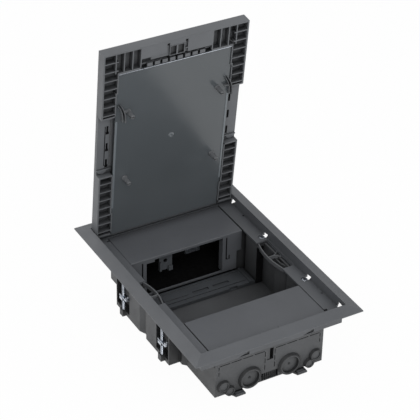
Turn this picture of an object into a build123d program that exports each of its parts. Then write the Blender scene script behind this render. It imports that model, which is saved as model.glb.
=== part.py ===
from build123d import *
import os

os.makedirs("parts", exist_ok=True)

# Floor socket box, millimetres. Origin at the bottom centre, +Z up, +Y towards the hinge side.

# Trim frame: sloping flange, lid recess, ledge and skirt.
frame_width = 199.0
frame_length = 276.0
top_z = 75.0                 # inner top edge of the flange, feet stand on zero
flange_width = 13.4
flange_drop = 3.9            # the outer edge of the flange sits this much lower
flange_edge = 1.2
wall = 2.0
recess_depth = 12.5
ledge_thick = 2.0
skirt_inset = 15.3
skirt_drop = 10.0
skirt_thick = 1.8
ledge_side = 15.5            # width of the ledge round the opening
ledge_end = 9.6

# Box body below the frame.
body_bottom = 4.0
rim_top_gap = 0.3            # rim of the body below the ledge
floor_top = 7.0
body_wall = 1.6
side_inset = 0.6             # the sides stand this much inside the rim
end_inset = 2.6
side_step = 16.4             # the ends are narrower by this much on each side
wide_left = (-49.5, 71.5)    # where the sides stand out, along Y
wide_right = (-70.0, 63.0)
shoulder_z = 33.4
shoulder_length = 14.0       # the upper part of the sides reaches this much further
corner_step = 9.5            # small shoulder in front of the left side
corner_length = 13.5
rim_thick = 2.0
rim_gap = 0.3

# Claws that clamp the box in the floor.
claw_out = 0.3               # claw screws stand this much outside the sides
claw_ys = {"left_back": 53.5, "left_front": -35.0, "right_back": 36.8, "right_front": -52.5}
pocket_spans = {"left_back": (41.0, 70.0), "left_front": (-47.5, -21.0),
                "right_back": (30.8, 53.5), "right_front": (-58.6, -26.6)}
pocket_depth = 7.5
pocket_slant = 4.5           # the right front pocket gets this much shallower towards the exit
pocket_floor = 9.0
screw_radius = 2.0
screw_clearance = 0.06
screw_head_radius = 3.5
screw_head_height = 2.0
screw_tip_z = 6.0
pad_bottom = 2.5
pad_height = 1.5
pad_half = 3.4
head_seat = 2.4              # the ledge is thickened by this much under a screw head
head_gap = 0.3
nut_size = 7.0
nut_height = 3.2
nut_z = 24.0
claw_thick = 1.6
claw_gap = 0.3
claw_arm = 11.4
claw_tail = 4.2
claw_width = 6.0

# Lid, drawn closed and then turned open about the hinge.
lid_gap = 0.7
lid_thick = 12.2
hinge_depth = 5.56
hinge_inset = 6.66           # hinge axis from the wall of the recess
open_angle = 83.6
skin_recess = 3.0            # shallow tray on the outside for the floor covering
skin_thick = 2.0
lid_wall = 1.8
rib_thick = 1.2
rib_pitch = 11.25            # ribs between the hinge and the outlets
rib_first = 6.6
rib_upper_pitch = 10.9       # ribs between the outlets and the free edge
rib_upper_start = 4.7        # the first of them from the outlet
rib_end_insets = (14.4, 23.9, 33.6, 43.2)
column_thick = 1.3
column_low = 3.0
column_rise = 2.3            # the columns end this much past the plate
cover_width = 15.04          # the band that covers the latch
cover_thick = 1.5
plate_margin = 17.2          # from the side of the lid
plate_step = 1.5
plate_step_low = 30.0
plate_step_high = 24.0       # from the plate's upper edge
plate_low = -1.0
plate_top_margin = 27.84     # from the free edge of the lid
plate_gap = 0.3
plate_thick = 1.5
plate_face_depth = 10.5
hinge_pin_radius = 2.0
hinge_pin_clearance = 0.08
outlet_low = 84.0            # cable outlet zone, measured from the hinge axis
outlet_high = 160.5
flap_start = 6.3             # the flap from the lower end of the outlet
flap_pivot_inset = 14.2      # from the side of the lid
flap_pivot_depth = 4.0
flap_pin_radius = 0.8
flap_pin_clearance = 0.08
flap_gap = 0.35
flap_room_behind = 1.4
flap_slot_inset = 11.4
flap_slot_width = 2.4
flap_slot_places = (6.7, 28.2, 50.7)
flap_slot_length = 10.4
flap_slot_floor = 0.5
flap_edge = 2.5
latch_travel = 2.5
latch_gap = 0.3
latch_half_x = 30.0
grip_half_x = 9.0
grip_margin = 7.24           # from the free edge of the lid
grip_length = 12.6
slider_face = 9.3            # depth of the slider's upper face
slider_thick = 1.1
hook_x = 10.75
hook_width = 1.6
hook_margin = 4.3
hook_depth = 2.6
hook_nose = 2.6
hook_thick = 1.4
hook_play = 0.5
hook_room = 0.7
tab_count = 8
tab_pitch = 8.9
tab_width = 6.2
tab_start = 0.9              # tabs from the plate's upper edge
tab_length = 4.3
peg_inset = 14.5             # from the side of the plate
peg_low_v = 74.3
peg_top_margin = 50.7        # from the plate's upper edge
peg_radius = 2.4
peg_length = 12.0
peg_foot = 3.2
peg_foot_gap = 0.05

# Cable guides in the exits.
guide_bow = 4.0
guide_thick = 1.5
guide_stem_y = 1.6
guide_spread = 6.3
guide_drop = 1.0             # top of the guides below the ledge
guide_height = 4.6

# Hoods over the wiring compartments.
hood_gap = 1.3
hood_back_gap = 1.0
hood_front_y = 58.6
hood_drop = 0.1              # top of the hoods below the ledge's surface
hood_wall = 2.0
hood_lower_gap = 0.5
hood_bottom_z = 12.4
port_left_margin = 12.0
port_right_margin = 18.3
port_bottom_z = 14.5
port_top_margin = 3.4
port_step = 10.0             # the left top corner of the port is stepped
port_step_drop = 2.8

# Parts behind the port and the tray in front of it.
terminal_left = -1.0
terminal_length = 18.0
terminal_height = 10.0
terminal_thick = 8.0
terminal_screw_insets = (3.6, 14.0)
terminal_behind = 3.8        # from the front of the hood
clip_behind = 4.4
tray_gap = 0.8
tray_length = 28.3
tray_thick = 4.0

# Pattern moulded in the end walls.
knock_x = 24.0
knock_z = 15.6
knock_radius = 12.2
knock_wall = 1.9
knock_height = 3.0
# Paired small knock-outs: distance from the corner, height, radius and how far they stand out.
twin_places = ((9.3, 16.4, 6.2, 2.0), (16.8, 8.0, 5.2, 2.4))
panel_near = 5.9             # lines from the middle and from the corner
panel_far = 4.2
panel_top = 43.0
panel_ends = (17.5, 29.6)    # the inner side line runs lower than the outer one
dash_width = 0.9
dash_depth = 0.9
dash_gap = 2.0
wedge_xs = (-34.5, 43.0)
wedge_half = 6.2
wedge_height = 3.9
wedge_rise = 0.6             # above the lower edge of the skirt
foot_x = 37.5
foot_half = 6.4
foot_reach = 5.4
foot_thick = 2.0

# Places that follow from the sizes above.
recess_half_x = frame_width / 2 - flange_width
recess_half_y = frame_length / 2 - flange_width
bay_half_x = recess_half_x - ledge_side
bay_half_y = recess_half_y - ledge_end
# Cable exits beside the bay: where each starts and ends along Y.
exit_spans = {"left": (pocket_spans["left_front"][1] + body_wall, 25.0),
              "right": (pocket_spans["right_front"][1] + body_wall,
                        pocket_spans["right_back"][0] - body_wall)}
ledge_z = top_z - recess_depth
hinge_z = top_z - hinge_depth
hinge_y = recess_half_y - hinge_inset
lid_half_x = recess_half_x - lid_gap
free_edge_v = hinge_y + recess_half_y - lid_gap
under_ledge = ledge_z - ledge_thick
skirt_x = frame_width / 2 - skirt_inset
skirt_y = frame_length / 2 - skirt_inset
skirt_low = under_ledge - skirt_drop
wedge_low = skirt_low + wedge_rise
body_top = under_ledge - rim_top_gap
hood_top_z = ledge_z - hood_drop
port_top_z = hood_top_z - port_top_margin
rim_x = skirt_x - skirt_thick - rim_gap
rim_y = skirt_y - skirt_thick - rim_gap
rim_low = body_top - rim_thick
side_half_x = rim_x - side_inset
end_half_x = side_half_x - side_step
end_half_y = rim_y - end_inset
corner_x = side_half_x - corner_step
claw_x = side_half_x + claw_out
pocket_depth_x = side_half_x - pocket_depth
hood_half_x = bay_half_x - hood_gap
hood_back_y = bay_half_y - hood_back_gap
hood_lower_half_x = end_half_x - body_wall - hood_lower_gap
port_left_x = port_left_margin - hood_lower_half_x
port_right_x = hood_lower_half_x - port_right_margin
terminal_y = hood_front_y + terminal_behind
terminal_top = hood_top_z - hood_wall
terminal_screw_z = terminal_top - 4.0
clip_y = hood_front_y + clip_behind
tray_back = hood_front_y - tray_gap
tray_front = tray_back - tray_length
skin_low = skin_recess + skin_thick
plate_half_x = lid_half_x - plate_margin
plate_high = free_edge_v - plate_top_margin
plate_steps = (plate_step_low, plate_high - plate_step_high)
column_high = plate_high + column_rise
rib_end_xs = [lid_half_x - inset for inset in rib_end_insets]
rib_upper_first = outlet_high + rib_upper_start
cover_half_x = rib_end_xs[-1]
cover_edge = free_edge_v - cover_width
flap_low = outlet_low + flap_start
flap_pivot_x = lid_half_x - flap_pivot_inset
flap_slot_x = lid_half_x - flap_slot_inset
flap_slot_vs = [flap_low + place for place in flap_slot_places]
grip_high = free_edge_v - grip_margin
grip_low = grip_high - grip_length
hook_post = (free_edge_v - hook_margin - hook_depth, free_edge_v - hook_margin)
tab_low = plate_high + tab_start
tab_high = tab_low + tab_length
peg_x = plate_half_x - peg_inset
peg_vs = (peg_low_v, plate_high - peg_top_margin)
plate_back = plate_face_depth - plate_thick
hook_nose_low = slider_face - hook_play
hinge_axis = Axis((0, hinge_y, hinge_z), (1, 0, 0))


def block(x0, x1, y0, y1, z0, z1):
    """Box between two opposite corners."""
    size_x, size_y, size_z = x1 - x0, y1 - y0, z1 - z0
    return Pos((x0 + x1) / 2, (y0 + y1) / 2, (z0 + z1) / 2) * Box(size_x, size_y, size_z)


def rod(x, y, z0, z1, radius):
    """Upright cylinder."""
    return Pos(x, y, (z0 + z1) / 2) * Cylinder(radius, z1 - z0)


def rod_x(x0, x1, y, z, radius):
    """Cylinder along X."""
    return Pos((x0 + x1) / 2, y, z) * Rot(0, 90, 0) * Cylinder(radius, abs(x1 - x0))


def rod_y(x, y0, y1, z, radius):
    """Cylinder along Y."""
    return Pos(x, (y0 + y1) / 2, z) * Rot(90, 0, 0) * Cylinder(radius, abs(y1 - y0))


def turned(shape):
    """The same shape turned half way round the upright axis."""
    return Rot(0, 0, 180) * shape


def mirrored_x(shape):
    return mirror(shape, Plane.YZ)


def slab(points, z0, z1, inset=0.0):
    """Upright prism over a closed outline, drawn in by an inset all round."""
    outline = make_face(Polyline(*points, close=True))
    if inset:
        outline = offset(outline, -inset, kind=Kind.TANGENT)
    return Pos(0, 0, z0) * extrude(outline, z1 - z0, dir=(0, 0, 1))


def side_prism(points, x0, x1):
    """Prism along X over an outline of (y, z) points."""
    outline = Plane.YZ.offset(x0) * make_face(Polyline(*points, close=True))
    return extrude(outline, x1 - x0, dir=(1, 0, 0))


def end_prism(points, y0, y1):
    """Prism along Y over an outline of (x, z) points."""
    outline = make_face(Polyline(*[(x, y0, z) for x, z in points], close=True))
    return extrude(outline, y1 - y0, dir=(0, 1, 0))


def both_ends(shape):
    """The shape and its copy turned half way round."""
    return shape + turned(shape)


def claw_place(name):
    side = -1 if name.startswith("left") else 1
    return side * claw_x, claw_ys[name]


def save(shape, name):
    export_step(shape, "parts/" + name + ".step")


# Trim frame.
def sloping_flange():
    outer = Pos(0, 0, top_z - flange_drop) * Rectangle(frame_width, frame_length)
    inner = Pos(0, 0, top_z) * Rectangle(2 * recess_half_x, 2 * recess_half_y)
    slope = loft([outer.face(), inner.face()])
    edge_low = top_z - flange_drop - flange_edge
    edge = block(-frame_width / 2, frame_width / 2, -frame_length / 2, frame_length / 2,
                 edge_low, top_z - flange_drop)
    return slope + edge


def windows():
    """Openings in the upright walls beside the claw screws and near the corners."""
    beyond = recess_half_x + wall + 1
    cut = None
    for name in ("right_back", "right_front"):
        y = claw_ys[name]
        chevron = [(y - 5.5, ledge_z + 4.6), (y + 4.6, ledge_z + 3.0), (y + 4.2, under_ledge - 2.5),
                   (y - 0.3, under_ledge - 2.5)]
        piece = side_prism(chevron, skirt_x + 0.3, beyond)
        cut = piece if cut is None else cut + piece
    for side in (-1, 1):
        y = side * (recess_half_y - 13.6)
        corner = [(y, ledge_z + 7.4), (y + 3.6, ledge_z - 3.6), (y - 8.4, ledge_z + 6.4)]
        cut += side_prism(corner, recess_half_x - 0.1, beyond)
    return cut


def hinge_boss(side):
    """Square boss outside the wall that holds a hinge pin."""
    wall_x = side * (recess_half_x + wall)
    reach = side * (recess_half_x + wall + 2.0)
    return block(min(wall_x - side * 0.5, reach), max(wall_x - side * 0.5, reach), hinge_y - 4,
                 hinge_y + 4, hinge_z - 5, top_z - flange_drop)


def latch_hook(x):
    """Catch hook for the lid latch: post at the front wall, nose towards the hinge."""
    x0, x1 = x - hook_width / 2, x + hook_width / 2
    post = lid_block(x0, x1, *hook_post, hook_nose_low - hook_thick, recess_depth + 0.5)
    profile = [(hook_post[0] + 0.1, hook_nose_low - hook_thick), (hook_post[0] - hook_nose + 0.8,
               hook_nose_low - hook_thick), (hook_post[0] - hook_nose, hook_nose_low - 0.5),
               (hook_post[0] - hook_nose, hook_nose_low), (hook_post[0] + 0.1, hook_nose_low)]
    nose = side_prism([(hinge_y - v, top_z - depth) for v, depth in profile], x0, x1)
    return post + nose


def make_frame():
    shape = sloping_flange()
    outer_x, outer_y = recess_half_x + wall, recess_half_y + wall
    shape += block(-outer_x, outer_x, -outer_y, outer_y, under_ledge, top_z - flange_drop)
    skirt = block(-skirt_x, skirt_x, -skirt_y, skirt_y, skirt_low, under_ledge)
    inner_x, inner_y = skirt_x - skirt_thick, skirt_y - skirt_thick
    skirt -= block(-inner_x, inner_x, -inner_y, inner_y, skirt_low - 1, under_ledge + 1)
    shape += skirt
    shape -= block(-recess_half_x, recess_half_x, -recess_half_y, recess_half_y, ledge_z, top_z + 1)
    shape -= block(-bay_half_x, bay_half_x, -bay_half_y, bay_half_y, under_ledge - 1, top_z)

    # Cable exits in the ledge, one on each long side, out to the skirt.
    for side_name, (y0, y1) in exit_spans.items():
        cable_exit = block(bay_half_x - 1, skirt_x, y0, y1, under_ledge - 1, ledge_z + 1)
        shape -= cable_exit if side_name == "right" else mirrored_x(cable_exit)

    # Seats that sink the claw screw heads into the ledge.
    for name in claw_ys:
        x, y = claw_place(name)
        half = screw_head_radius + 1.2
        gap = half + head_gap
        limit = block(-inner_x, inner_x, -inner_y, inner_y, 0, top_z)
        seat = block(x - half, x + half, y - half, y + half, under_ledge - head_seat, under_ledge)
        shape -= block(x - gap, x + gap, y - gap, y + gap, skirt_low - 1, under_ledge) & limit
        shape += seat & limit
        shape -= rod(x, y, ledge_z - screw_head_height - head_gap, ledge_z + 0.1,
                     screw_head_radius + head_gap)
        shape -= rod(x, y, skirt_low - 1, ledge_z, screw_radius + screw_clearance)
    shape -= both_ends(windows())

    # Drain hole and corner notch in the ledge.
    shape -= both_ends(rod(recess_half_x - 1.4, 42.2 - recess_half_y, under_ledge - 0.5, ledge_z + 0.5,
                       1.1))
    shape -= both_ends(block(bay_half_x - 0.5, bay_half_x + 3.4, 4.0 - bay_half_y, 7.2 - bay_half_y,
                             under_ledge - 1, ledge_z + 1))

    # Wedge windows in the skirt where the box body snaps in.
    wedge_out = skirt_y + 0.5
    for x in wedge_xs:
        points = [(x - wedge_half, wedge_low), (x + wedge_half, wedge_low),
                  (x + wedge_half, wedge_low + wedge_height)]
        shape -= both_ends(end_prism(points, -wedge_out, -wedge_out + skirt_thick + 1))

    for side in (1, -1):
        shape += hinge_boss(side)
        shape -= rod_x(side * (recess_half_x - 1), side * (recess_half_x + wall + 2.2), hinge_y,
                       hinge_z, hinge_pin_radius)
        shape += latch_hook(side * hook_x)
    return shape


# Box body: two outlines, the upper one with shoulders, hollowed by drawing them in.
def lower_outline():
    x, y, side = end_half_x, end_half_y, side_half_x
    nick = corner_x - 3.3
    return [(-x, -y), (x, -y), (x, wide_right[0]), (side, wide_right[0]), (side, wide_right[1]),
            (x, wide_right[1]), (x, y), (-x, y), (-x, wide_left[1]), (-side, wide_left[1]),
            (-side, wide_left[0]), (-nick, wide_left[0]), (-nick, wide_left[0] - 5), (-x, wide_left[0] - 9)]


def upper_outline():
    x, y, side = end_half_x, end_half_y, side_half_x
    right, left = wide_right[0] - shoulder_length, wide_left[1] + shoulder_length - 1.5
    return [(-x, -y), (x, -y), (x, right), (side, right), (side, wide_right[1]), (x, wide_right[1]),
            (x, y), (-x, y), (-x, left), (-side, left), (-side, wide_left[0]),
            (-corner_x, wide_left[0]), (-corner_x, wide_left[0] - corner_length),
            (-x, wide_left[0] - corner_length)]


def pocket(name, grow=0.0):
    """Room for one claw, open to the outside; the right front one has a slanted inner wall."""
    y0, y1 = pocket_spans[name]
    inner = pocket_depth_x - grow
    slant = pocket_slant if name == "right_front" else 0.0
    points = [(inner, y0 - grow), (side_half_x + 4, y0 - grow), (side_half_x + 4, y1 + grow),
              (inner + slant, y1 + grow)]
    if name.startswith("left"):
        points = [(-x, y) for x, y in reversed(points)]
    return slab(points, pocket_floor - grow, rim_low + grow)


def body_hollow():
    """The space inside the body, open at the top, with walls left round the claw pockets."""
    t = body_wall
    room = slab(lower_outline(), floor_top, shoulder_z + t, inset=t)
    room += slab(upper_outline(), shoulder_z + t, body_top + 1, inset=t)
    for name in pocket_spans:
        room -= pocket(name, grow=t)
    return room


def ring(x, z, radius, thick, height):
    """Collar of a round knock-out on the end wall."""
    face_y = -end_half_y
    collar = rod_y(x, face_y - height, face_y + 0.5, z, radius)
    return collar - rod_y(x, face_y - height - 1, face_y, z, radius - thick)


def panel_dashes():
    """Broken line round each rectangular break-out panel of the end wall."""
    face_y = -end_half_y
    y0, y1 = face_y - 1, face_y + dash_depth
    half = dash_width / 2
    near, far = panel_near, end_half_x - panel_far
    cut = None
    for side in (-1, 1):
        step = (far - near) / 4
        for k in range(4):
            x0, x1 = sorted((side * (near + k * step + dash_gap / 2),
                             side * (near + (k + 1) * step - dash_gap / 2)))
            dash = block(x0, x1, y0, y1, panel_top - half, panel_top + half)
            cut = dash if cut is None else cut + dash
        for x, low, count in ((side * near, panel_ends[0], 3), (side * far, panel_ends[1], 2)):
            step = (panel_top - low) / count
            for k in range(count):
                cut += block(x - half, x + half, y0, y1, low + k * step + dash_gap / 2,
                             low + (k + 1) * step - dash_gap / 2)
    return cut


def foot(x):
    """Flat standing lug in front of the end wall, with a small notch."""
    front, back = -end_half_y - foot_reach, -end_half_y + 9
    tongue = slab([(x - foot_half - 1.6, back), (x - foot_half - 1.6, -end_half_y),
                   (x - foot_half + 1.2, front), (x + foot_half, front), (x + foot_half, back)],
                  0, foot_thick)
    tongue -= block(x - 2.2, x + 1.2, front + 1.2, front + 2.6, foot_thick - 0.7, foot_thick + 1)
    legs = block(x - foot_half, x + foot_half, -end_half_y + 3, back, foot_thick - 0.1,
                 body_bottom + 0.1)
    return tongue + legs


def make_body():
    shape = slab(lower_outline(), body_bottom, shoulder_z)
    shape += slab(upper_outline(), shoulder_z, rim_low)
    shape += block(-rim_x, rim_x, -rim_y, rim_y, rim_low - 0.1, body_top)
    shape -= body_hollow()
    seat = screw_head_radius + 1.2 + head_gap
    for name in pocket_spans:
        x, y = claw_place(name)
        shape -= pocket(name)
        shape -= block(x - seat, x + seat, y - seat, y + seat, under_ledge - head_seat - head_gap,
                       body_top + 1)
        # Bearing block that guides the lower end of the claw screw.
        shape += block(x - pad_half, x + pad_half, y - pad_half, y + pad_half, pad_bottom,
                       pocket_floor + pad_height)
        shape -= rod(x, y, screw_tip_z - 0.8, pocket_floor + pad_height + 1,
                     screw_radius + screw_clearance)

    # Slanted groove in each side between the pockets, with its own inner wall.
    side = side_half_x
    groove = [(-side - 1, 17.0), (-side, 17.0), (3.3 - side, 10.0), (3.3 - side, 2.0), (-side - 1, 2.0)]
    backing = [(0.5 - side, 19.5), (1.9 - side, 19.5), (4.9 - side, 11.5), (4.9 - side, 0.4),
               (0.5 - side, 0.4)]
    shape += both_ends(slab(backing[::-1], body_bottom, rim_low))
    shape -= both_ends(slab(groove[::-1], body_bottom - 1, rim_low))

    # Front wall: backing of the deep slot and the low opening, then knock-outs and lines.
    face_y = -end_half_y
    front = block(-5.0, 6.0, face_y + 0.5, face_y + 7.5, 28.5, 46.0)
    front += block(-11.2, 12.2, face_y + 0.5, face_y + 9.0, floor_top - 0.5, 15.8)
    for side in (-1, 1):
        front += ring(side * knock_x, knock_z, knock_radius, knock_wall, knock_height)
        for inset, z, radius, height in twin_places:
            front += rod_y(side * (end_half_x - inset), face_y - height, face_y + 0.5, z, radius)
    shape += front
    shape -= block(0.2, 4.0, face_y - 1, face_y + 6.3, 30.0, 44.5)
    shape -= end_prism([(-3.4, 30.0), (0.3, 30.0), (0.3, 44.5), (-1.6, 44.5)], face_y - 1, face_y + 1.0)
    shape -= block(-9.5, 10.5, face_y - 1, face_y + 7.5, 5.2, 14.0)
    shape -= panel_dashes()
    for k in range(7):
        x = -6.6 + 2.4 * k
        shape += block(x - 0.35, x + 0.35, face_y + 1.0, face_y + 7.6, 5.1, 14.1)
    for side in (-1, 1):
        shape += rod_y(side * knock_x, end_half_y - 0.5, end_half_y + knock_height, knock_z, knock_radius)
        slot = [(face_y + 1, 41.8), (face_y + 1, 43.4), (face_y + 7.2, 47.2), (face_y + 7.2, 45.6)]
        shape -= side_prism(slot, *sorted((side * (end_half_x - 0.9), side * (end_half_x + 1))))
        shape += both_ends(foot(side * foot_x))

    # Snap wedges that sit in the windows of the skirt.
    for x in wedge_xs:
        points = [(x - wedge_half + 1.6, wedge_low + 0.5), (x + wedge_half - 0.5, wedge_low + 0.5),
                  (x + wedge_half - 0.5, wedge_low + wedge_height - 0.9)]
        shape += both_ends(end_prism(points, -rim_y, -end_half_y + 0.5))
    # Web that carries the back end of the left cable guide.
    web_y = exit_spans["left"][1]
    shape += block(-side_half_x + 1, -pocket_depth_x + 0.4 + guide_bow - 1.5, web_y,
                   web_y + body_wall, 44.0, rim_low)
    return shape


def make_tray():
    """Low shelf in front of the back hood, clipped on the floor."""
    half, low, high = end_half_x - body_wall - 0.9, floor_top, floor_top + tray_thick
    reach = pocket_depth_x - body_wall - 1.8
    shape = block(-half, half, tray_front, tray_back, low, high)
    shape += block(half - 0.2, reach, tray_front, tray_back, low, high)
    shape -= block(38.0, 48.0, tray_front - 0.5, tray_front + 1.9, low + 1.2, high + 1)
    shape += block(half + 1.4, half + 4.4, tray_front, tray_back, high - 0.1, high + 1.2)
    shape += block(-half, half + 1.5, tray_back - 3.8, tray_back - 2.2, high - 0.1, high + 0.8)
    shape += block(-38.0, -8.0, tray_front + 11.5, tray_front + 20.5, high - 0.1, high + 1)
    for x in (8.0, 34.0):
        shape -= block(x - 10, x + 10, tray_front + 11, tray_front + 15, high - 1.4, high + 1)
    shape -= block(2.6 - half, half - 0.6, tray_front + 5.7, tray_front + 6.7, high - 0.8, high + 1)
    return shape


# Hood over the back wiring compartment; the front one is the same part turned round.
def make_hood():
    top_low = hood_top_z - hood_wall
    y0, y1 = hood_front_y, hood_front_y + hood_wall
    tight_x = bay_half_x - 0.4
    shape = block(-tight_x, hood_half_x, y0, hood_back_y, top_low, hood_top_z)
    low = hood_lower_half_x
    front = [(-low, hood_bottom_z), (low, hood_bottom_z), (low, shoulder_z + 3),
             (hood_half_x, shoulder_z + 3), (hood_half_x, top_low + 0.1), (-hood_half_x, top_low + 0.1),
             (-hood_half_x, shoulder_z + 3), (-low, shoulder_z + 3)]
    shape += end_prism(front, y0, y1)
    for side in (-1, 1):
        strip_x = side * (low - 0.6)
        shape += block(strip_x - 0.6, strip_x + 0.6, y0 + 1, hood_back_y - 3, 44.0, top_low + 0.1)
    # Side rails of the device port behind the front wall.
    for x in (port_left_x - 1.0, port_right_x + 1.0):
        shape += block(x - 1.0, x + 1.0, y0 + 1, y0 + 8, port_bottom_z - 1, top_low + 0.1)
    port = [(port_left_x, port_bottom_z), (port_right_x, port_bottom_z), (port_right_x, port_top_z),
            (port_left_x + port_step, port_top_z), (port_left_x + port_step, port_top_z - port_step_drop),
            (port_left_x, port_top_z - port_step_drop)]
    shape -= end_prism(port, y0 - 1, y1 + 1)
    # Clip slots beside the port, hooked at their lower ends.
    for x, hook in ((port_right_x + 4.9, 1), (port_left_x - 5.0, -1)):
        slot = [(x - 0.8, 28.0), (x + 4.6 * hook, 28.0), (x + 4.6 * hook, 33.5), (x + 3.0 * hook, 33.5),
                (x + 3.0 * hook, 29.6), (x + 0.8 * hook, 29.6), (x + 0.8 * hook, 58.4),
                (x - 0.8 * hook, 58.4), (x - 0.8 * hook, 28.0)]
        if hook < 0:
            slot = slot[1:]
        else:
            slot = slot[:-1]
        shape -= end_prism(slot, y0 - 1, y1 + 1)
    # Rounded front lip and softened sides.
    lip = [e for e in shape.edges().filter_by(Axis.X)
           if abs(e.center().Y - hood_front_y) < 0.01 and abs(e.center().Z - hood_top_z) < 0.01]
    shape = fillet(lip, 0.9)
    sides = [e for e in shape.edges().filter_by(Axis.Y)
             if abs(e.center().Z - hood_top_z) < 0.01 and e.length > 40]
    return chamfer(sides, 0.5)


def make_terminal_block():
    """Earthing terminal under the hood, just behind the port."""
    shape = block(terminal_left, terminal_left + terminal_length, terminal_y, terminal_y + terminal_thick,
                  terminal_top - terminal_height, terminal_top)
    for inset in terminal_screw_insets:
        shape -= rod_y(terminal_left + inset, terminal_y - 1, terminal_y + 3.6, terminal_screw_z, 1.9)
    return shape


def make_terminal_screw(x):
    shape = rod_y(x, terminal_y - 0.4, terminal_y + 3.5, terminal_screw_z, 1.85)
    return shape - block(x - 2, x + 2, terminal_y - 0.9, terminal_y + 0.4, terminal_screw_z - 0.4,
                         terminal_screw_z + 0.4)


def make_cable_clip():
    """Cable clip that hangs below the hood on the left of the port."""
    back = clip_y + 2.0
    shape = block(-33.0, -17.0, clip_y, back, 38.0, terminal_top)
    shape += block(-33.0, -31.0, clip_y - 2.1, back, 38.0, 50.0)
    shape += block(-22.0, -17.0, clip_y - 1.8, back, 36.0, 42.0)
    return shape - rod_y(-25.5, clip_y - 1, back + 1, 50.0, 2.6)


# Bowed cable guide; its forked web hooks over the body wall. Drawn for the right side.
def make_cable_guide(side_name):
    z1 = ledge_z - guide_drop
    z0 = z1 - guide_height
    y0, y1 = exit_spans[side_name]
    stem_y = guide_stem_y if side_name == "right" else -guide_stem_y
    end_x = pocket_depth_x - 0.4
    ends = ((end_x, y1), (end_x - guide_bow, (y0 + y1) / 2), (end_x, y0))
    outer = ThreePointArc(*ends)
    inner = ThreePointArc(*[(x - guide_thick, y) for x, y in ends])
    outline = [outer, Line(outer @ 1, inner @ 1), inner, Line(inner @ 0, outer @ 0)]
    strip = Pos(0, 0, z0) * extrude(make_face(outline), z1 - z0, dir=(0, 0, 1))
    fork_x = side_half_x - 4.9
    stem = block(end_x - guide_bow - 0.4, fork_x, stem_y - 0.7, stem_y + 0.7, z0 + 0.8, z1)
    shape = strip + stem
    # The arms stop at the inner wall below and lie on the rim and skirt above.
    for reach, low in ((side_half_x - body_wall, z0 + 0.8), (skirt_x - 0.2, under_ledge)):
        for way in (-1, 1):
            spread = guide_spread * (reach - fork_x) / (skirt_x - 0.2 - fork_x)
            arm = [(fork_x - 0.8, stem_y - 0.7 * way), (reach, stem_y + way * (spread - 1.5)),
                   (reach, stem_y + way * spread), (fork_x - 0.8, stem_y + 0.7 * way)]
            shape += slab(arm, low, z1)
    return shape if side_name == "right" else mirrored_x(shape)


# Claw screw, nut and claw, drawn at the right back corner of the box axis.
def make_claw_screw(x, y):
    head_z = ledge_z - head_gap * 0.5
    shape = rod(x, y, head_z - screw_head_height, head_z, screw_head_radius)
    shape += rod(x, y, screw_tip_z, head_z - screw_head_height + 0.1, screw_radius)
    return shape


def make_nut(x, y):
    shape = block(x - nut_size / 2, x + nut_size / 2, y - nut_size / 2, y + nut_size / 2,
                  nut_z, nut_z + nut_height)
    shape -= rod(x, y, nut_z - 1, nut_z + nut_height + 1, screw_radius + screw_clearance)
    return shape


def make_claw(x, y, arm_direction):
    """Stamped claw with an upturned toothed end; arm_direction is +1 or -1 along Y."""
    z0 = nut_z + nut_height + claw_gap
    half = claw_width / 2
    way = arm_direction
    lip_height = 5.2
    tail_y = y - way * (claw_tail + 0.6)
    shape = slab([(x - half, tail_y), (x + half, tail_y), (x + half, y + way * claw_arm),
                  (x - half, y + way * claw_arm)], z0, z0 + claw_thick)
    lip_y = sorted((y + way * claw_arm, y + way * (claw_arm - claw_thick)))
    tip, gum = z0 + lip_height, z0 + lip_height - 1.2
    teeth = [(x - half, z0), (x + half, z0), (x + half, tip), (x + half / 2, gum), (x, tip),
             (x - half / 2, gum), (x - half, tip)]
    shape += end_prism(teeth, *lip_y)
    shape -= rod(x, y, z0 - 1, z0 + claw_thick + 1, screw_radius + screw_clearance)
    return shape


# Lid, drawn closed: v runs from the hinge axis to the free edge, depth from the outer face.
def lid_block(x0, x1, v0, v1, depth0, depth1):
    return block(x0, x1, hinge_y - v1, hinge_y - v0, top_z - depth1, top_z - depth0)


def both_sides(shape):
    return shape + mirrored_x(shape)


def lid_outline(points, depth0, depth1):
    """Prism of the lid over (x, v) points."""
    return slab([(x, hinge_y - v) for x, v in points], top_z - depth1, top_z - depth0)


def plate_edge(offset_x, v0, v1, spread=0.0):
    """Outline points along the right edge of the plate, moved out by offset_x and longer by spread."""
    wide, narrow = plate_half_x + offset_x, plate_half_x - plate_step + offset_x
    step_low, step_high = plate_steps[0] - spread, plate_steps[1] + spread
    points = []
    for low, high, x in ((plate_low, step_low, narrow), (step_low, step_high, wide),
                         (step_high, plate_high + 20, narrow)):
        start, end = max(low, v0), min(high, v1)
        if start < end:
            points += [(x, start), (x, end)]
    return points


def rib_column(v0, v1):
    """Wall along the plate's edge that the side ribs start from."""
    inner = plate_edge(plate_gap, v0, v1)
    outer = plate_edge(plate_gap + column_thick, v0, v1, spread=column_thick)
    return lid_outline(inner + outer[::-1], skin_low - 0.1, lid_thick - 0.4)


def column_face(v):
    """Where a side rib meets its column."""
    wide = plate_steps[0] - column_thick - rib_thick < v < plate_steps[1] + column_thick + rib_thick
    return plate_half_x + plate_gap + column_thick - 0.3 - (0 if wide else plate_step)


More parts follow.
